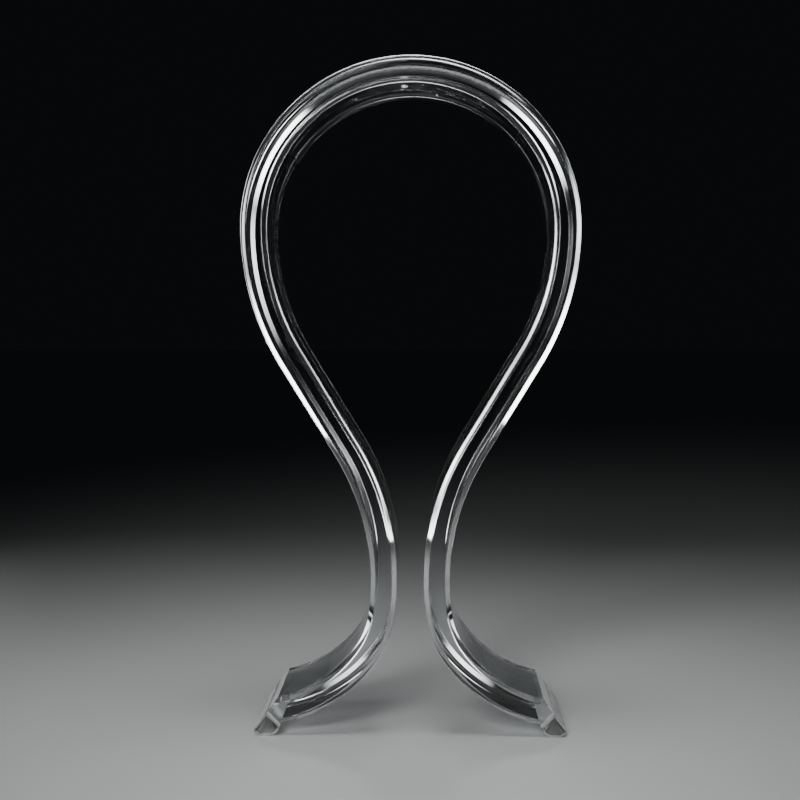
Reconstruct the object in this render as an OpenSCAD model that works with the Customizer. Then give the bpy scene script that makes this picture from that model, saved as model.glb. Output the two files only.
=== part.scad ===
// Headphone stand: one clear strip bent into an omega, on two bonded feet.
// Origin on the floor, midway between the feet and midway through the strip's width.
// X runs across the loop, Y from front to back, Z up.

/* [Strip] */
// Overall height, from the floor to the crown of the loop
stand_height = 256; // [210:1:320]
// Width of the loop, outside to outside
loop_width = 127.5; // [105:0.5:160]
// Width of the strip, from front to back
strip_width = 50; // [30:1:80]
// Thickness of the strip
strip_thick = 10; // [7:0.5:12]
// Bevel along the strip's four long edges
edge_bevel = 2; // [0.5:0.1:2.5]

/* [Legs] */
// Clear gap between the two legs at the waist
waist_gap = 10; // [6:0.5:20]
// Length of the straight run in the middle of each leg
leg_straight = 41; // [20:1:60]
// How far the waist bend carries on below the narrowest place, in degrees
waist_turn = 8; // [2:0.5:12]
// Radius of the tight bend under the waist, at the middle of the strip
ankle_radius = 35; // [25:1:48]
// Lean of the strip where the tight bend ends, in degrees from upright
ankle_lean = 35; // [25:1:50]
// Radius of the slow bend along each foot, at the middle of the strip
toe_radius = 54; // [40:1:70]
// Slope of the strip at its end, in degrees below level
toe_slope = 12.5; // [6:0.5:20]

/* [Strip ends] */
// How far the point of each end reaches past the strip's top corner
nose_reach = 4.6; // [3:0.1:6]
// How far the point of each end lies below the strip's top face
nose_drop = 4; // [3:0.1:5]
// How far the strip's bottom corner reaches past its top corner
heel_reach = 1; // [0:0.1:2]

/* [Feet] */
// Height of the strip's point above the floor
foot_height = 9.5; // [8:0.1:12]
// Radius of the round underside of each foot
foot_radius = 5.75; // [4.5:0.05:7]
// How far the middle of the round underside lies outwards of the strip's point
foot_offset = 0.7; // [0:0.1:1.5]
// How deep the round underside is flattened where it stands
foot_flat = 0.35; // [0.2:0.05:0.6]
// Thickness of the bonding layer between strip and foot
bond_thick = 0.8; // [0.4:0.1:1.2]

/* [Hidden] */
$fn = 96;

// Loop: half a turn over the crown, down to its widest level
crown_radius = loop_width / 2 - strip_thick / 2;
widest_z = stand_height - loop_width / 2;

// Lower bends, each measured as a step outwards and a step down from where it starts
toe_lean = 90 - toe_slope;
waist_x = waist_gap / 2 + strip_thick / 2;
ankle_out = ankle_radius * (cos(waist_turn) - cos(ankle_lean));
ankle_down = ankle_radius * (sin(ankle_lean) - sin(waist_turn));
toe_out = toe_radius * (cos(ankle_lean) - cos(toe_lean));
toe_down = toe_radius * (sin(toe_lean) - sin(ankle_lean));

// Point of the strip's end, measured from the middle of its last full section
nose = [nose_reach, strip_thick / 2 - nose_drop];
top_corner = [0, strip_thick / 2];
low_corner = [heel_reach, -strip_thick / 2];
nose_down = nose.x * sin(toe_slope) - nose.y * cos(toe_slope);

// Leg: two equal sweeps joined by the straight run, with a radius that follows from how far
// the leg closes in, how far it comes down, and the waist bend's own part below the waist
close_in = crown_radius - waist_x;
fixed_down = ankle_down + toe_down + nose_down + foot_height;
drop = widest_z - fixed_down;
// The straight run is tangent to both sweeps, and the waist lies at fixed_down plus
// sweep_radius * tuck. That is a quadratic for sweep_radius, and this is its smaller root.
tuck = sin(waist_turn);
qa = tuck * tuck;
qb = -(2 * drop * tuck + 4 * close_in);
qc = drop * drop + close_in * close_in - leg_straight * leg_straight;
sweep_radius = (-qb - sqrt(qb * qb - 4 * qa * qc)) / (2 * qa);
waist_z = fixed_down + sweep_radius * tuck;
leg_drop = widest_z - waist_z;
leg_lean = atan2(close_in - 2 * sweep_radius, leg_drop)
    + asin(2 * sweep_radius / norm([close_in - 2 * sweep_radius, leg_drop]));

// Centres of the bends, for the leg on the +X side
sweep_top = [crown_radius - sweep_radius, widest_z];
sweep_low = [waist_x + sweep_radius, waist_z];
ankle = sweep_low - (sweep_radius - ankle_radius) * [cos(waist_turn), sin(waist_turn)];
toe = ankle + (toe_radius - ankle_radius) * [cos(ankle_lean), sin(ankle_lean)];
last = toe - toe_radius * [cos(toe_lean), sin(toe_lean)];
straight_start = sweep_top + sweep_radius * [cos(leg_lean), -sin(leg_lean)];

// Every second length of the strip is slimmer by a hair all round and a little longer at
// both ends, so that it seats inside its neighbours and the strip is one solid
hair = 0.02;
joint_lap = 0.4;
// Cutting shapes reach past what they cut by this much
spare = 1;

// Foot, in the same upright drawing plane
function at_end(p) = last + [
    p.x * cos(toe_slope) + p.y * sin(toe_slope),
    p.y * cos(toe_slope) - p.x * sin(toe_slope)
];
nose_point = at_end(nose);
heel_point = at_end(low_corner);
crest_point = at_end(top_corner);
foot_centre = [nose_point.x + foot_offset, foot_radius - foot_flat];
reach = 2 * foot_height + 2 * foot_radius;

// Cross-section of the strip: thickness along X, width along Y, slimmer all round by slim
module strip_section(slim) {
    t = strip_thick / 2 - slim;
    w = strip_width / 2 - slim;
    b = edge_bevel - slim * (2 - sqrt(2));
    polygon([
        [-t, b - w], [b - t, -w], [t - b, -w], [t, b - w],
        [t, w - b], [t - b, w], [b - t, w], [-t, w - b]
    ]);
}

// A bend about centre, from one angle to another, in the drawing plane
module bend(centre, radius, from, to, seated = false) {
    slim = seated ? hair : 0;
    extra = seated ? joint_lap / radius * 180 / PI : 0;
    translate([centre.x, centre.y, 0])
        rotate([0, 0, from - extra])
            rotate_extrude(angle = to - from + 2 * extra)
                translate([radius, 0]) strip_section(slim);
}

// A straight run from a point, along a heading, in the drawing plane
module run(start, heading, length) {
    translate([start.x, start.y, 0])
        rotate([0, 0, heading])
            rotate([90, 0, 90])
                linear_extrude(length) strip_section(0);
}

// The pointed end of the strip, cut by the end face above and the undercut below
module strip_end() {
    beyond = 1.5;
    above = nose + beyond * (top_corner - nose);
    below = nose + beyond * (low_corner - nose);
    behind = -strip_thick;
    intersection() {
        run(last, -toe_slope, nose_reach + spare);
        translate([last.x, last.y, 0])
            rotate([0, 0, -toe_slope])
                linear_extrude(strip_width + 2 * spare, center = true)
                    polygon([[behind, above.y], above, nose, below, [behind, below.y]]);
    }
}

// One leg of the arch, from the crown's end to the pointed end of the strip
module leg() {
    bend(sweep_top, sweep_radius, -leg_lean, 0, seated = true);
    run(straight_start, -90 - leg_lean, leg_straight);
    bend(sweep_low, sweep_radius, 180 - leg_lean, 180 + waist_turn, seated = true);
    bend(ankle, ankle_radius, 180 + waist_turn, 180 + ankle_lean);
    bend(toe, toe_radius, 180 + ankle_lean, 180 + toe_lean, seated = true);
    strip_end();
}

module acrylic_arch() {
    color([0.82, 0.88, 0.92, 0.45])
        rotate([90, 0, 0]) {
            bend([0, widest_z], crown_radius, 0, 180);
            leg();
            mirror([1, 0, 0]) leg();
        }
}

// Everything under the strip's end face line and inside the foot's round underside
module foot_outline() {
    intersection() {
        union() {
            translate(foot_centre) circle(foot_radius);
            translate([foot_centre.x - foot_radius, foot_centre.y])
                square([2 * foot_radius, reach]);
        }
        translate([foot_centre.x - reach, 0]) square([2 * reach, reach]);
        face_side();
    }
}

// The side of the end face on which the strip lies
module face_side() {
    slope = atan2(nose_point.y - crest_point.y, nose_point.x - crest_point.x);
    translate(nose_point)
        rotate(slope)
            translate([-reach, -2 * reach]) square([2 * reach, 2 * reach]);
}

// The side of the undercut on which the foot lies, set back by a clearance
module undercut_side(back) {
    slope = atan2(nose_point.y - heel_point.y, nose_point.x - heel_point.x);
    translate(nose_point)
        rotate(slope)
            translate([-reach, -2 * reach - back]) square([2 * reach, 2 * reach]);
}

module foot() {
    color([0.72, 0.74, 0.74, 0.9])
        rotate([90, 0, 0])
            linear_extrude(strip_width, center = true)
                intersection() {
                    foot_outline();
                    undercut_side(bond_thick);
                }
}

module bond() {
    color([0.93, 0.94, 0.93, 0.8])
        rotate([90, 0, 0])
            linear_extrude(strip_width, center = true)
                difference() {
                    intersection() {
                        foot_outline();
                        undercut_side(0);
                    }
                    undercut_side(bond_thick);
                }
}

module right_foot() { foot(); }
module right_foot_bond() { bond(); }
module left_foot() { mirror([1, 0, 0]) foot(); }
module left_foot_bond() { mirror([1, 0, 0]) bond(); }

acrylic_arch();
left_foot();
right_foot();
left_foot_bond();
right_foot_bond();
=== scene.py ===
"""Clear acrylic headphone stand: one strip bent into an omega, standing on two cloudy bonded feet."""

import math

import bmesh
import bpy
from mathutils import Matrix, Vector


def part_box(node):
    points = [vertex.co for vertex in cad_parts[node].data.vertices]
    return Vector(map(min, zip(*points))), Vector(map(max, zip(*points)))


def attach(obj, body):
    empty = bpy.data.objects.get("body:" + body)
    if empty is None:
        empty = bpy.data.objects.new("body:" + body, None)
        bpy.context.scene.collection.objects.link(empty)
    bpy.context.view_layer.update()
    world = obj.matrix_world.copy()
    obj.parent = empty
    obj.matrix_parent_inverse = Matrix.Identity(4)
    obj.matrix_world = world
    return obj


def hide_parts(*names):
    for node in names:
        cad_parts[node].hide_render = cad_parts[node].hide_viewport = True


bl_info = {
    "name": "Clear Headphone Stand",
    "version": (1, 0, 0),
    "blender": (4, 5, 0),
    "location": "View3D > Sidebar > Stand",
    "description": "Models and finishes a bent acrylic headphone stand around its packed frame",
    "category": "Add Mesh",
}

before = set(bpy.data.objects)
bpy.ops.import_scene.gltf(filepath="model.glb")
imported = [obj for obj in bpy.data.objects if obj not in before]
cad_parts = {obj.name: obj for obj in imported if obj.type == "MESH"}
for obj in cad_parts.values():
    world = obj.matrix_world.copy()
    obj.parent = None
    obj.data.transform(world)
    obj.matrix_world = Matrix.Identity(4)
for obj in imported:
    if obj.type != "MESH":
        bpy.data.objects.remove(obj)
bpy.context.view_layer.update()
ARCH_LOW, ARCH_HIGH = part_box("acrylic_arch")
BOND_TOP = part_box("right_foot_bond")[1].z

MM = 0.001


# ---------------------------------------------------------------- sizes and colours


def length(name, description, default):
    """A length property in metres."""
    return bpy.props.FloatProperty(
        name=name, description=description, default=default, min=0.0, precision=5,
        subtype="DISTANCE", unit="LENGTH",
    )


def angle(name, description, degrees):
    """An angle property, given in degrees and kept in radians."""
    return bpy.props.FloatProperty(
        name=name, description=description, default=math.radians(degrees),
        subtype="ANGLE", unit="ROTATION",
    )


def colour(name, description, default):
    """A linear colour property."""
    return bpy.props.FloatVectorProperty(
        name=name, description=description, default=default, min=0.0, max=1.0,
        size=3, subtype="COLOR",
    )


class StandSizes(bpy.types.PropertyGroup):
    """Driving sizes of the stand; the overall ones come from the frame."""

    stand_height: length("Stand height", "Floor to the top of the crown", ARCH_HIGH.z)
    loop_width: length("Loop width", "Across the loop, outside to outside", ARCH_HIGH.x - ARCH_LOW.x)
    strip_width: length("Strip width", "Front to back", ARCH_HIGH.y - ARCH_LOW.y)
    strip_thick: length("Strip thickness", "Thickness of the acrylic sheet", 10 * MM)
    edge_bevel: length("Edge bevel", "Leg of the 45 degree bevel on the long edges", 2 * MM)
    edge_round: length("Edge rounding", "Width of the polished rounding on every edge", 0.35 * MM)
    waist_gap: length("Waist gap", "Gap between the legs where they come closest", 10 * MM)
    leg_straight: length("Straight of the leg", "Straight run between the two sweeps", 41 * MM)
    waist_turn: angle("Waist turn", "How far the waist bend goes on past upright", 8)
    ankle_radius: length("Ankle radius", "Bend under the waist, to mid-thickness", 35 * MM)
    ankle_lean: angle("Ankle lean", "Lean at which the ankle bend ends", 35)
    toe_radius: length("Toe radius", "Bend that lays the end down, to mid-thickness", 54 * MM)
    toe_slope: angle("Toe slope", "Slope of the strip's end to the floor", 12.5)
    nose_reach: length("Nose reach", "How far the point goes past the last full section", 4.6 * MM)
    nose_drop: length("Nose drop", "How far the point lies under the upper face", 4 * MM)
    heel_reach: length("Heel reach", "Start of the undercut past the last full section", 1 * MM)
    foot_height: length("Foot height", "Height of the strip's point above the floor", BOND_TOP)
    foot_radius: length("Foot radius", "Radius of the foot's round underside", 5.75 * MM)
    foot_offset: length("Foot offset", "Foot's axis outwards of the strip's point", 0.7 * MM)
    foot_flat: length("Foot flat", "Depth to which the round underside is flattened", 0.35 * MM)
    foot_corner: length("Foot corner", "Rounding of the foot's long corners", 0.7 * MM)
    foot_rim: length("Foot rim", "Rounding round the foot's two ends", 0.28 * MM)
    foot_margin: length("Foot margin", "Cloudy margin around the clear end faces", 0.55 * MM)
    bond_corner: length("Bond corner", "Rounding of the bonding layer's long corners", 0.18 * MM)
    bond_rim: length("Bond rim", "Rounding round the bonding layer's two ends", 0.07 * MM)
    bond_thick: length("Bond thickness", "Thickness of the bonding layer", 0.8 * MM)
    seat: length("Seat", "How far bonded faces sink into each other", 0.03 * MM)
    turn_step: angle("Turn step", "Largest turn between two rings of the strip", 1.25)
    foot_step: angle("Foot step", "Largest turn between two lines of the round underside", 7)


class StandFinish(bpy.types.PropertyGroup):
    """Colours of the finishes and of the floor."""

    acrylic: colour("Acrylic", "Clear acrylic seen through its thickness", (0.93, 0.955, 0.975))
    sawn: colour("Sawn acrylic", "Frosted cut faces at the strip's ends", (0.86, 0.88, 0.88))
    silicone: colour("Silicone", "Cloudy feet", (0.66, 0.68, 0.67))
    bond: colour("Bond", "Pale bonding layer", (0.92, 0.93, 0.92))
    floor: colour("Floor", "Pale floor", (0.74, 0.74, 0.73))


# ---------------------------------------------------------------- outline of the stand


def heading(turn):
    """Unit vector in the drawing plane at an angle from +X."""
    return Vector((math.cos(turn), math.sin(turn)))


def in_space(p):
    """A drawing-plane point or direction as a 3-D one."""
    return Vector((p.x, 0.0, p.y))


def perpendicular(direction):
    """A drawing-plane direction turned a quarter, anticlockwise as the drawing is looked at."""
    return Vector((-direction.y, direction.x))


def outward_normal(start, end):
    """Normal of the plane through two outline points of the +X side, pointing away from the strip."""
    normal = perpendicular((end - start).normalized())
    return normal if normal.x > 0 else -normal


class Outline:
    """Centres, headings and cut points of the +X side, worked out from the sizes. Points are (x, z)."""

    def __init__(self, s):
        half = s.strip_thick / 2
        self.toe_lean = math.pi / 2 - s.toe_slope
        self.crown_radius = s.loop_width / 2 - half
        self.widest_z = s.stand_height - s.loop_width / 2
        waist_x = s.waist_gap / 2 + half
        ankle_down = s.ankle_radius * (math.sin(s.ankle_lean) - math.sin(s.waist_turn))
        toe_down = s.toe_radius * (math.sin(self.toe_lean) - math.sin(s.ankle_lean))
        nose = Vector((s.nose_reach, half - s.nose_drop))
        nose_down = nose.x * math.sin(s.toe_slope) - nose.y * math.cos(s.toe_slope)

        # Both sweeps have one radius, the smaller root of the quadratic that says that the straight
        # run between them touches both
        close_in = self.crown_radius - waist_x
        fixed_down = ankle_down + toe_down + nose_down + s.foot_height
        drop = self.widest_z - fixed_down
        tuck = math.sin(s.waist_turn)
        squared = tuck * tuck
        linear = -(2 * drop * tuck + 4 * close_in)
        constant = drop * drop + close_in * close_in - s.leg_straight ** 2
        root = math.sqrt(linear * linear - 4 * squared * constant)
        self.sweep_radius = (-linear - root) / (2 * squared)
        waist_z = fixed_down + self.sweep_radius * tuck
        across = close_in - 2 * self.sweep_radius
        leg_drop = self.widest_z - waist_z
        self.leg_lean = math.atan2(across, leg_drop) + math.asin(
            2 * self.sweep_radius / math.hypot(across, leg_drop)
        )

        self.sweep_top = Vector((self.crown_radius - self.sweep_radius, self.widest_z))
        self.sweep_low = Vector((waist_x + self.sweep_radius, waist_z))
        self.ankle = self.sweep_low - (self.sweep_radius - s.ankle_radius) * heading(s.waist_turn)
        self.toe = self.ankle + (s.toe_radius - s.ankle_radius) * heading(s.ankle_lean)
        last = self.toe - s.toe_radius * heading(self.toe_lean)

        along = heading(-s.toe_slope)
        upward = heading(math.pi / 2 - s.toe_slope)
        self.crest = last + upward * half
        self.nose = last + along * nose.x + upward * nose.y
        self.heel = last + along * s.heel_reach - upward * half
        self.foot_centre = Vector((self.nose.x + s.foot_offset, s.foot_radius - s.foot_flat))


# ---------------------------------------------------------------- modelling helpers


# Doubles nearer than the first distance are merged. The second is the play allowed where a point is
# tested against a plane, and where the strip's mirrored halves are joined
MERGE_DISTANCE = 1e-7
PLAY = 1e-6


def start_clean():
    """Leaves edit mode and deselects everything, the frame's own nodes included."""
    if bpy.context.object and bpy.context.object.mode != "OBJECT":
        bpy.ops.object.mode_set(mode="OBJECT")
    bpy.ops.object.select_all(action="DESELECT")


def make_active(obj):
    """Makes obj the only selected and the active object."""
    start_clean()
    obj.select_set(True)
    bpy.context.view_layer.objects.active = obj


def begin_piece(name):
    """Names the new primitive, bakes its place into its mesh and opens it in edit mode, all selected."""
    obj = bpy.context.object
    obj.name = name
    obj.data.name = name
    bpy.ops.object.transform_apply(location=True, rotation=True, scale=True)
    bpy.ops.object.mode_set(mode="EDIT")
    bpy.ops.mesh.select_mode(type="VERT")
    bpy.ops.mesh.select_all(action="SELECT")
    return obj


def select_where(obj, kind, test):
    """In edit mode, selects only the verts, edges or faces for which test is true, and counts them."""
    bpy.ops.mesh.select_mode(type={"verts": "VERT", "edges": "EDGE", "faces": "FACE"}[kind])
    bpy.ops.mesh.select_all(action="DESELECT")
    mesh = bmesh.from_edit_mesh(obj.data)
    mesh.normal_update()
    found = [e for e in getattr(mesh, kind) if test(e)]
    for element in found:
        element.select_set(True)
    mesh.select_flush_mode()
    bmesh.update_edit_mesh(obj.data)
    return len(found)


def cut(obj, point, normal, test):
    """In edit mode, cuts the faces of the test with a plane, drops the normal's side, closes the cut."""
    select_where(obj, "faces", test)
    bpy.ops.mesh.bisect(
        plane_co=point, plane_no=normal, use_fill=True, clear_outer=True, threshold=MERGE_DISTANCE
    )


def tidy_shell():
    """In edit mode, merges doubles and turns every face outwards."""
    bpy.ops.mesh.select_all(action="SELECT")
    bpy.ops.mesh.remove_doubles(threshold=MERGE_DISTANCE)
    bpy.ops.mesh.normals_make_consistent(inside=False)


# Edges that turn less than this belong to the strip's bends and are left as they are
BEND_EDGE = math.radians(20)
EDGE_SEGMENTS = 3


def round_edges(obj, width):
    """Rounds the edges of the strip but not its bends, and keeps the wide faces flat in shading."""
    make_active(obj)
    bevel = obj.modifiers.new("Rounding", "BEVEL")
    bevel.width = width
    bevel.segments = EDGE_SEGMENTS
    bevel.limit_method = "ANGLE"
    bevel.angle_limit = BEND_EDGE
    bevel.use_clamp_overlap = False
    bevel.harden_normals = True
    bpy.ops.object.shade_smooth()
    bpy.ops.object.modifier_apply(modifier=bevel.name)


def mirrored_copy(obj, name):
    """A copy of a piece on the other side, with a mesh of its own."""
    make_active(obj)
    bpy.ops.object.duplicate()
    twin = bpy.context.object
    twin.name = name
    twin.data.name = name
    bpy.ops.object.mode_set(mode="EDIT")
    bpy.ops.mesh.select_all(action="SELECT")
    bpy.ops.transform.resize(value=(-1, 1, 1), center_override=(0, 0, 0))
    bpy.ops.mesh.normals_make_consistent(inside=False)
    bpy.ops.object.mode_set(mode="OBJECT")
    return twin


def add_materials(obj, *materials):
    """Gives a piece its materials, in the order of its slots."""
    obj.data.materials.clear()
    for material in materials:
        obj.data.materials.append(material)


# ---------------------------------------------------------------- the three shapes


# Rings along the straight of a leg, and the length left for cutting an end, in thicknesses
LEG_RINGS = 20
END_SPARE = 2


def strip_ring(s, centre_z):
    """Shapes the open plane of a new strip into its bevelled cross-section, standing across X."""
    bpy.ops.transform.resize(
        value=(1, s.strip_width, s.strip_thick), center_override=(0, 0, centre_z)
    )
    bpy.ops.mesh.bevel(offset=s.edge_bevel, offset_type="OFFSET", affect="VERTICES", segments=1)
    bpy.ops.mesh.select_all(action="SELECT")
    bpy.ops.mesh.delete(type="ONLY_FACE")
    bpy.ops.mesh.select_all(action="SELECT")


def bend(centre, turn, step):
    """Spins the selected ring about a bend's centre; a positive turn goes from +Z towards +X."""
    bpy.ops.mesh.spin(
        steps=math.ceil(abs(turn) / step), angle=turn, center=in_space(centre), axis=(0, -1, 0)
    )


def push(direction, distance, rings=1):
    """Extrudes the selected ring straight on, with a number of rings along the way."""
    for _ in range(rings):
        bpy.ops.mesh.extrude_region_move(
            TRANSFORM_OT_translate={"value": in_space(direction) * distance / rings}
        )


def shape_strip(s, o):
    """The bent strip: one half is spun and extruded ring by ring, cut at its end and then mirrored."""
    start_clean()
    crown_z = o.widest_z + o.crown_radius
    bpy.ops.mesh.primitive_plane_add(
        size=1, location=(0, 0, crown_z), rotation=(0, math.pi / 2, 0)
    )
    obj = begin_piece("bent_strip")
    strip_ring(s, crown_z)
    bend(Vector((0, o.widest_z)), math.pi / 2, s.turn_step)
    bend(o.sweep_top, o.leg_lean, s.turn_step)
    push(heading(-math.pi / 2 - o.leg_lean), s.leg_straight, LEG_RINGS)
    bend(o.sweep_low, -o.leg_lean - s.waist_turn, s.turn_step)
    bend(o.ankle, s.waist_turn - s.ankle_lean, s.turn_step)
    bend(o.toe, s.ankle_lean - o.toe_lean, s.turn_step)
    push(heading(-s.toe_slope), END_SPARE * s.strip_thick)
    along = in_space(heading(-s.toe_slope))

    def is_last_length(face):
        return all((v.co - in_space(o.crest)).dot(along) > -PLAY for v in face.verts)

    for point in (o.crest, o.heel):
        cut(obj, in_space(o.nose), in_space(outward_normal(point, o.nose)), is_last_length)
    bpy.ops.object.mode_set(mode="OBJECT")
    mirror = obj.modifiers.new("Other leg", "MIRROR")
    mirror.merge_threshold = PLAY
    bpy.ops.object.modifier_apply(modifier=mirror.name)
    bpy.ops.object.mode_set(mode="EDIT")
    tidy_shell()
    bpy.ops.object.mode_set(mode="OBJECT")
    return obj


# How far two unit normals that count as one may differ, and the same for a bevel's normal, whose
# part along Y is given too
SAME_NORMAL = 0.01
SAME_BEVEL = 0.1
BEVEL_ALONG_Y = math.sqrt(0.5)


def is_cut_face(face, o):
    """Whether a face of the strip is one of the sawn faces at its ends."""
    middle = face.calc_center_median()
    if abs(face.normal.y) > SAME_NORMAL or middle.z > o.crest.y:
        return False
    normal = Vector((math.copysign(1, middle.x) * face.normal.x, face.normal.z))
    sawn = (outward_normal(o.crest, o.nose), outward_normal(o.heel, o.nose))
    return any((normal - n).length < SAME_NORMAL for n in sawn)


def is_bevel_face(face):
    """Whether a face of the strip is one of the 45 degree bevels."""
    return abs(abs(face.normal.y) - BEVEL_ALONG_Y) < SAME_BEVEL


def meet_circle(point, direction, centre, radius):
    """Where a line from point, inside a circle, first leaves it."""
    run = direction.normalized()
    offset = point - centre
    half_b = offset.dot(run)
    reach = math.sqrt(half_b ** 2 - offset.dot(offset) + radius ** 2) - half_b
    return point + run * reach


def clockwise(start, end):
    """Turn from one drawing-plane direction to another, from +Z towards +X."""
    return (math.atan2(start.y, start.x) - math.atan2(end.y, end.x)) % math.tau


def profile_block(name, s, o, start, moves):
    """A block along Y, whose outline goes from the start point by moves and closes on itself.

    A move is round the foot's axis or straight, and names the point that it ends at.
    """
    start_clean()
    half = s.strip_width / 2
    bpy.ops.mesh.primitive_plane_add(size=1, location=(start.x, -half, start.y))
    obj = begin_piece(name)
    bpy.ops.mesh.merge(type="CENTER")
    here = start
    for kind, point in moves:
        if kind == "round":
            turn = clockwise(here - o.foot_centre, point - o.foot_centre)
            bend(o.foot_centre, turn, s.foot_step)
        else:
            push((point - here).normalized(), (point - here).length)
        here = point
    bpy.ops.mesh.select_all(action="SELECT")
    bpy.ops.mesh.remove_doubles(threshold=MERGE_DISTANCE)
    bpy.ops.mesh.edge_face_add()
    bpy.ops.mesh.extrude_region_move(TRANSFORM_OT_translate={"value": (0, s.strip_width, 0)})
    tidy_shell()
    return obj


# Edges that turn less than this belong to the round underside and are left as they are
SHARP_CORNER = math.radians(28)
CORNER_SEGMENTS = 4


def is_long_corner(edge):
    """Whether an edge of a block runs along Y and is sharp."""
    run = edge.verts[1].co - edge.verts[0].co
    return abs(run.y) > (1 - SAME_NORMAL) * run.length and edge.calc_face_angle(0) > SHARP_CORNER


def round_selected(width):
    """In edit mode, rounds the selected edges."""
    bpy.ops.mesh.bevel(offset=width, offset_type="OFFSET", segments=CORNER_SEGMENTS, profile=0.5)


def soften(obj, s, corner, rim):
    """In edit mode, rounds a block's long corners first and then the rims of its two ends."""
    select_where(obj, "edges", is_long_corner)
    round_selected(corner)
    half = s.strip_width / 2
    select_where(obj, "edges", lambda e: all(abs(abs(v.co.y) - half) < PLAY for v in e.verts))
    round_selected(rim)
    bpy.ops.object.mode_set(mode="OBJECT")
    bpy.ops.object.shade_smooth()
    weigh = obj.modifiers.new("Flat faces", "WEIGHTED_NORMAL")
    bpy.ops.object.modifier_apply(modifier=weigh.name)


def block_corners(o, radius, depth):
    """Corners of what lies deeper than depth under the undercut: top, left and right points."""
    face = o.nose - o.crest
    under = o.heel - o.nose
    drop = outward_normal(o.heel, o.nose) * depth
    into_face = drop - face * (drop.dot(perpendicular(under)) / face.dot(perpendicular(under)))
    top = o.nose + drop - into_face
    left = meet_circle(top, under, o.foot_centre, radius)
    right = meet_circle(top, face, o.foot_centre, radius)
    return top, left, right


def shape_foot(s, o):
    """The right foot: under the bond, inside the round underside and above the floor."""
    top, left, right = block_corners(o, s.foot_radius, s.bond_thick - s.seat)
    down = Vector((0, -o.foot_centre.y))
    flat_half = math.sqrt(s.foot_radius ** 2 - o.foot_centre.y ** 2)
    flat = [o.foot_centre + down + Vector((side * flat_half, 0)) for side in (1, -1)]
    obj = profile_block("right_cloudy_foot", s, o, right, [
        ("round", flat[0]), ("straight", flat[1]), ("round", left), ("straight", top),
    ])
    soften(obj, s, s.foot_corner, s.foot_rim)
    return obj


def shape_bond(s, o):
    """The right bonding layer, between the strip's undercut and the foot."""
    top, left, _ = block_corners(o, s.foot_radius, -s.seat)
    under_top, under_left, _ = block_corners(o, s.foot_radius, s.bond_thick)
    obj = profile_block("right_bond", s, o, under_left, [
        ("round", left), ("straight", top), ("straight", under_top),
    ])
    soften(obj, s, s.bond_corner, s.bond_rim)
    return obj


# ---------------------------------------------------------------- shader maths


class Value:
    """A socket of a material on which arithmetic adds Math nodes."""

    def __init__(self, paint, socket):
        self.paint = paint
        self.socket = socket

    def math(self, operation, *terms):
        """A Math node on this and other values or numbers."""
        return self.paint.node("ShaderNodeMath", {"operation": operation}, dict(enumerate(terms)))

    def __add__(self, other):
        return self.math("ADD", self, other)

    def __sub__(self, other):
        return self.math("SUBTRACT", self, other)

    def __rsub__(self, other):
        return self.math("SUBTRACT", other, self)

    def __mul__(self, other):
        return self.math("MULTIPLY", self, other)

    __radd__ = __add__
    __rmul__ = __mul__

    def larger(self, other):
        """The larger of two values."""
        return self.math("MAXIMUM", self, other)

    def between(self, low, high):
        """0 below low, 1 above high, smooth in between."""
        settings = {"interpolation_type": "SMOOTHSTEP"}
        inputs = {"Value": self, "From Min": low, "From Max": high}
        return self.paint.node("ShaderNodeMapRange", settings, inputs)


class Paint:
    """Builds one procedural material."""

    def __init__(self, name):
        self.material = bpy.data.materials.new(name)
        self.material.use_nodes = True
        self.tree = self.material.node_tree
        self.tree.nodes.clear()
        self.place = self.node("ShaderNodeTexCoord", {}, {}, "Object")

    def node(self, kind, settings, inputs, output=0):
        """Adds a node: its settings first, then the value or link of each socket it is given.

        The result is one of its outputs, or nothing for the material's output, which has none.
        """
        made = self.tree.nodes.new(kind)
        for name, value in settings.items():
            setattr(made, name, value)
        for name, value in inputs.items():
            if isinstance(value, Value):
                self.tree.links.new(value.socket, made.inputs[name])
            else:
                made.inputs[name].default_value = value
        return Value(self, made.outputs[output]) if made.outputs else None

    def stretched(self, scale, turn=(0, 0, 0)):
        """The piece's own coordinates, turned and scaled."""
        return self.node(
            "ShaderNodeMapping", {}, {"Vector": self.place, "Scale": scale, "Rotation": turn}
        )

    def noise(self, scale, where=None, detail=2.0, roughness=0.5):
        """Soft noise from 0 to 1."""
        inputs = {"Vector": where or self.place, "Scale": scale, "Detail": detail,
                  "Roughness": roughness}
        return self.node("ShaderNodeTexNoise", {}, inputs)

    def along(self, axis):
        """One coordinate of the piece, in metres."""
        return self.node("ShaderNodeSeparateXYZ", {}, {0: self.place}, "XYZ".index(axis))

    def tint(self, factor, low, high):
        """A colour between two others."""
        settings = {"data_type": "RGBA"}
        inputs = {0: factor, 6: (*low, 1), 7: (*high, 1)}
        return self.node("ShaderNodeMix", settings, inputs, 2)

    def bump(self, height, depth, normal=None):
        """A normal from a height between 0 and 1, depth metres deep."""
        inputs = {"Height": height, "Distance": depth, "Strength": 1.0}
        if normal is not None:
            inputs["Normal"] = normal
        return self.node("ShaderNodeBump", {}, inputs)

    def plastic(self, **sockets):
        """A Principled shader; underscores in socket names stand for spaces."""
        inputs = {name.replace("_", " "): value for name, value in sockets.items()}
        return self.node("ShaderNodeBsdfPrincipled", {}, inputs)

    def blend(self, factor, first, second):
        """A mix of two shaders."""
        return self.node("ShaderNodeMixShader", {}, {0: factor, 1: first, 2: second})

    def finish(self, shader):
        """Connects the shader to the output and hands over the material."""
        self.node("ShaderNodeOutputMaterial", {}, {"Surface": shader})
        return self.material


ACRYLIC_IOR = 1.49
SILICONE_IOR = 1.41


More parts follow.
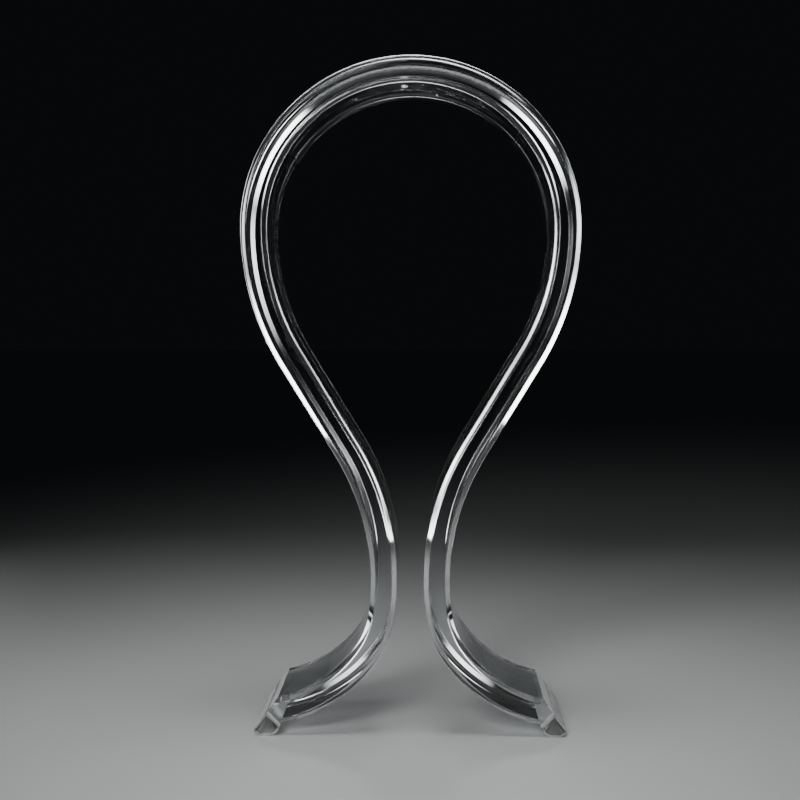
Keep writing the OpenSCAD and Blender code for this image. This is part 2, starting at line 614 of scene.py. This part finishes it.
def scratches(paint, turn, scale):
    """Fine hairline scratches at one slant, as a mask."""
    where = paint.stretched((scale * 0.02, scale * 0.02, scale), turn)
    lines = paint.noise(1.0, where, detail=1.0)
    return lines.between(0.69, 0.74)


def polished_acrylic(finish, saddle_z):
    """Clear, bent acrylic: slow waves from bending, drawn lines along the strip, wear on the saddle."""
    paint = Paint("polished_acrylic")
    waves = paint.noise(26.0, detail=1.0)
    drawn = paint.noise(1.0, paint.stretched((9.0, 900.0, 9.0)), detail=3.0)
    smudge = paint.noise(75.0, detail=4.0, roughness=0.6).between(0.45, 0.75)
    worn = paint.along("Z").between(saddle_z - 22 * MM, saddle_z)
    hairs = scratches(paint, (0.3, 0.9, 0.0), 2600.0).larger(
        scratches(paint, (1.2, -0.4, 0.6), 3100.0)
    )
    hairs = hairs * (worn * 0.8 + 0.12)
    roughness = 0.012 + 0.03 * smudge + 0.22 * hairs + 0.035 * worn
    normal = paint.bump(waves, 0.12 * MM)
    normal = paint.bump(drawn, 0.0012 * MM, normal)
    normal = paint.bump(1 - hairs, 0.002 * MM, normal)
    colour_in = paint.tint(waves, [c * 0.985 for c in finish.acrylic], finish.acrylic)
    return paint.finish(paint.plastic(
        Base_Color=colour_in, Roughness=roughness, Normal=normal,
        Transmission_Weight=1.0, IOR=ACRYLIC_IOR,
    ))


def bevelled_acrylic(finish):
    """The machined bevels: a buffed, slightly silky finish with fine lines along the edge."""
    paint = Paint("buffed_bevel")
    lines = paint.noise(1.0, paint.stretched((40.0, 2500.0, 40.0)), detail=3.0)
    patches = paint.noise(60.0, detail=3.0)
    roughness = 0.025 + 0.05 * patches + 0.03 * lines
    normal = paint.bump(lines, 0.003 * MM)
    clear = paint.plastic(
        Base_Color=paint.tint(patches, finish.acrylic, (1, 1, 1)), Roughness=roughness,
        Normal=normal, Transmission_Weight=1.0, IOR=ACRYLIC_IOR,
    )
    milky = paint.plastic(
        Base_Color=(0.93, 0.95, 0.96, 1), Roughness=0.35, Normal=normal,
    )
    return paint.finish(paint.blend(0.01 + 0.035 * patches, clear, milky))


def sawn_acrylic(finish):
    """The sawn and sanded end faces: frosted, with saw marks across the strip."""
    paint = Paint("sawn_acrylic")
    marks = paint.noise(1.0, paint.stretched((4200.0, 60.0, 4200.0)), detail=3.0)
    frost = paint.noise(420.0, detail=5.0, roughness=0.7)
    haze = paint.noise(90.0, detail=2.0)
    normal = paint.bump(marks, 0.03 * MM)
    normal = paint.bump(frost, 0.02 * MM, normal)
    clear = paint.plastic(
        Base_Color=(*finish.sawn, 1), Roughness=0.22 + 0.25 * frost, Normal=normal,
        Transmission_Weight=1.0, IOR=ACRYLIC_IOR,
    )
    milky = paint.plastic(
        Base_Color=paint.tint(marks, finish.sawn, (0.96, 0.97, 0.97)), Roughness=0.5,
        Normal=normal,
    )
    return paint.finish(paint.blend(0.5 + 0.25 * haze + 0.15 * marks, clear, milky))


def silicone(name, finish, milk):
    """Translucent silicone with cloudy blotches, a fine skin and a scuffed tread.

    Milk is how cloudy it is: 1 for the moulded skin, less where it is cut smooth and looks dark.
    """
    paint = Paint(name)
    blotch = paint.noise(260.0, detail=3.0, roughness=0.6)
    skin = paint.noise(1900.0, detail=3.0)
    tread = 1 - paint.along("Z").between(0.0, 2.2 * MM)
    scuff = paint.noise(1.0, paint.stretched((500.0, 160.0, 900.0)), detail=3.0).between(0.4, 0.62)
    normal = paint.bump(skin, 0.015 * MM * milk)
    normal = paint.bump(blotch, 0.03 * MM * milk, normal)
    dim = [c * 0.85 for c in finish.silicone]
    clear = paint.plastic(
        Base_Color=paint.tint(blotch.between(0.3, 0.75), dim, finish.silicone),
        Roughness=0.05 + 0.15 * milk * (blotch + 0.7), Normal=normal,
        Transmission_Weight=1.0, IOR=SILICONE_IOR,
    )
    milky = paint.plastic(
        Base_Color=paint.tint(blotch.between(0.3, 0.8), finish.silicone, (0.88, 0.89, 0.88)),
        Roughness=0.42 + 0.2 * scuff, Normal=normal,
        Subsurface_Weight=0.5, Subsurface_Radius=(2 * MM, 2 * MM, 2 * MM), Subsurface_Scale=1.0,
    )
    cloud = 0.45 + 0.25 * blotch.between(0.3, 0.75) + 0.2 * tread * scuff
    return paint.finish(paint.blend(cloud * milk, clear, milky))


def bonding_layer(finish):
    """The bond: a pale, nearly clear film with small trapped bubbles."""
    paint = Paint("bonding_layer")
    cells = paint.node(
        "ShaderNodeTexVoronoi", {"feature": "F1"}, {"Vector": paint.place, "Scale": 1400.0}
    )
    bubbles = 1 - cells.between(0.12, 0.24)
    streaks = paint.noise(1.0, paint.stretched((700.0, 120.0, 700.0)), detail=3.0)
    normal = paint.bump(bubbles, 0.03 * MM)
    clear = paint.plastic(
        Base_Color=(*finish.bond, 1), Roughness=0.1 + 0.2 * streaks, Normal=normal,
        Transmission_Weight=1.0, IOR=ACRYLIC_IOR,
    )
    milky = paint.plastic(
        Base_Color=paint.tint(streaks, finish.bond, (0.98, 0.98, 0.98)), Roughness=0.35,
        Normal=normal,
    )
    return paint.finish(paint.blend(0.4 + 0.3 * streaks + 0.3 * bubbles, clear, milky))


def pale_floor(finish):
    """A plain satin floor with a barely uneven surface."""
    paint = Paint("pale_floor")
    grain = paint.noise(6.0, detail=4.0)
    return paint.finish(paint.plastic(
        Base_Color=paint.tint(grain, [c * 0.985 for c in finish.floor], finish.floor),
        Roughness=0.34 + 0.04 * grain, Specular_IOR_Level=0.4,
    ))


# ---------------------------------------------------------------- operators


class STAND_OT_stage(bpy.types.Operator):
    """Adds the camera, the floor and the soft studio lights"""

    bl_idname = "stand.stage"
    bl_label = "Stage"

    def execute(self, context):
        add_camera()
        add_floor(context.scene.stand_finish)
        add_lights()
        return {"FINISHED"}


# The camera stands in front of the stand and a little right of it, and looks slightly down and
# slightly left
CAMERA_PLACE = (8.35 * MM, -575 * MM, 159.6 * MM)
CAMERA_DOWN = math.radians(3.3)
CAMERA_LEFT = math.radians(1.27)
CAMERA_LENS = 66.24
SENSOR_WIDTH = 36.0
CAMERA_NEAR = 10 * MM


def add_camera():
    """Adds the camera and makes it the scene's own."""
    start_clean()
    bpy.ops.object.camera_add(
        location=CAMERA_PLACE, rotation=(math.pi / 2 - CAMERA_DOWN, 0, CAMERA_LEFT)
    )
    camera = bpy.context.object
    camera.name = "camera"
    camera.data.sensor_width = SENSOR_WIDTH
    camera.data.lens = CAMERA_LENS
    camera.data.clip_start = CAMERA_NEAR
    bpy.context.scene.camera = camera


FLOOR_SIDE = 12.0


def add_floor(finish):
    """Adds the pale floor under the feet."""
    start_clean()
    bpy.ops.mesh.primitive_plane_add(size=1, location=(0, 0, 0))
    floor = begin_piece("floor")
    bpy.ops.transform.resize(value=(FLOOR_SIDE, FLOOR_SIDE, 1), center_override=(0, 0, 0))
    bpy.ops.mesh.subdivide(number_cuts=4)
    bpy.ops.object.mode_set(mode="OBJECT")
    add_materials(floor, pale_floor(finish))


# Soft boxes: name, place, point it faces, width and height in metres, power in watts, spread in
# degrees. The top and front ones light the floor and the feet. The other five stand behind, each
# where the bevels of the clear strip bend the view to, and light its edges
SOFT_BOXES = (
    ("top_box", (0.0, -0.1, 0.75), (0.0, -0.02, 0.0), 0.35, 0.3, 0.28, 60),
    ("front_box", (-0.3, -1.0, 0.6), (0.0, -0.05, 0.0), 0.5, 0.4, 0.36, 36),
    ("left_edge_box", (-0.29, 0.6, 0.3), (0.0, 0.0, 0.22), 0.14, 0.52, 0.016, 20),
    ("right_edge_box", (0.29, 0.6, 0.3), (0.0, 0.0, 0.22), 0.14, 0.52, 0.016, 20),
    ("left_low_box", (-0.185, 0.445, 0.11), (0.0, 0.0, 0.2), 0.17, 0.18, 0.022, 22),
    ("right_low_box", (0.185, 0.445, 0.11), (0.0, 0.0, 0.2), 0.17, 0.18, 0.022, 22),
    ("crown_edge_box", (0.0, 0.6, 0.56), (0.0, 0.0, 0.25), 0.6, 0.3, 0.14, 30),
)
LIGHT_COLOUR = (0.97, 0.985, 1.0)
ROOM_COLOUR = (0.004, 0.0044, 0.005, 1)


def add_lights():
    """Adds the soft boxes and the dim room around them."""
    for name, place, aim, width, height, power, spread in SOFT_BOXES:
        start_clean()
        facing = (Vector(aim) - Vector(place)).to_track_quat("-Z", "Y").to_euler()
        bpy.ops.object.light_add(type="AREA", location=place, rotation=facing)
        box = bpy.context.object
        box.name = name
        box.data.shape = "RECTANGLE"
        box.data.size = width
        box.data.size_y = height
        box.data.energy = power
        box.data.spread = math.radians(spread)
        box.data.color = LIGHT_COLOUR
        box.visible_camera = False
    world = bpy.data.worlds.new("room")
    world.use_nodes = True
    world.node_tree.nodes["Background"].inputs["Color"].default_value = ROOM_COLOUR
    bpy.context.scene.world = world


class STAND_OT_strip(bpy.types.Operator):
    """Models the bent acrylic strip with its bevels and its sawn, pointed ends"""

    bl_idname = "stand.strip"
    bl_label = "Bent strip"

    def execute(self, context):
        sizes = context.scene.stand_sizes
        finish = context.scene.stand_finish
        outline = Outline(sizes)
        strip = shape_strip(sizes, outline)
        add_materials(
            strip,
            polished_acrylic(finish, sizes.stand_height),
            bevelled_acrylic(finish),
            sawn_acrylic(finish),
        )
        bpy.ops.object.mode_set(mode="EDIT")
        bevels = select_where(strip, "faces", is_bevel_face)
        strip.active_material_index = 1
        bpy.ops.object.material_slot_assign()
        sawn = select_where(strip, "faces", lambda f: is_cut_face(f, outline))
        strip.active_material_index = 2
        bpy.ops.object.material_slot_assign()
        if not bevels or not sawn:
            raise RuntimeError("the strip has lost its bevels or its sawn faces")
        bpy.ops.object.mode_set(mode="OBJECT")
        round_edges(strip, sizes.edge_round)
        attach(strip, "root")
        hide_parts("acrylic_arch")
        return {"FINISHED"}


class STAND_OT_feet(bpy.types.Operator):
    """Models the two cloudy feet"""

    bl_idname = "stand.feet"
    bl_label = "Feet"

    def execute(self, context):
        sizes = context.scene.stand_sizes
        finish = context.scene.stand_finish
        right = shape_foot(sizes, Outline(sizes))
        add_materials(
            right,
            silicone("cloudy_silicone", finish, milk=1.0),
            silicone("silicone_cap", finish, milk=0.15),
        )
        bpy.ops.object.mode_set(mode="EDIT")
        if not select_where(right, "faces", lambda f: abs(f.normal.y) > 1 - SAME_NORMAL):
            raise RuntimeError("the foot has lost its end faces")
        bpy.ops.mesh.inset(thickness=sizes.foot_margin, depth=0)
        right.active_material_index = 1
        bpy.ops.object.material_slot_assign()
        bpy.ops.object.mode_set(mode="OBJECT")
        left = mirrored_copy(right, "left_cloudy_foot")
        for foot, node in ((right, "right_foot"), (left, "left_foot")):
            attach(foot, "root")
            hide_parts(node)
        return {"FINISHED"}


class STAND_OT_bonds(bpy.types.Operator):
    """Models the two bonding layers between the strip and its feet"""

    bl_idname = "stand.bonds"
    bl_label = "Bonding layers"

    def execute(self, context):
        sizes = context.scene.stand_sizes
        right = shape_bond(sizes, Outline(sizes))
        add_materials(right, bonding_layer(context.scene.stand_finish))
        left = mirrored_copy(right, "left_bond")
        for bond, node in ((right, "right_foot_bond"), (left, "left_foot_bond")):
            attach(bond, "root")
            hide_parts(node)
        return {"FINISHED"}


class STAND_PT_panel(bpy.types.Panel):
    """Lists the stand's operators in the sidebar"""

    bl_idname = "STAND_PT_panel"
    bl_label = "Headphone stand"
    bl_space_type = "VIEW_3D"
    bl_region_type = "UI"
    bl_category = "Stand"

    def draw(self, context):
        for operator in OPERATORS:
            self.layout.operator(operator.bl_idname)


OPERATORS = (STAND_OT_stage, STAND_OT_strip, STAND_OT_feet, STAND_OT_bonds)
CLASSES = (StandSizes, StandFinish, *OPERATORS, STAND_PT_panel)


def register():
    for made in CLASSES:
        bpy.utils.register_class(made)
    bpy.types.Scene.stand_sizes = bpy.props.PointerProperty(type=StandSizes)
    bpy.types.Scene.stand_finish = bpy.props.PointerProperty(type=StandFinish)


def unregister():
    del bpy.types.Scene.stand_finish
    del bpy.types.Scene.stand_sizes
    for made in reversed(CLASSES):
        bpy.utils.unregister_class(made)


def main():
    """Builds the stage and every piece."""
    register()
    bpy.ops.stand.stage()
    bpy.ops.stand.strip()
    bpy.ops.stand.feet()
    bpy.ops.stand.bonds()


if __name__ == "__main__":
    main()
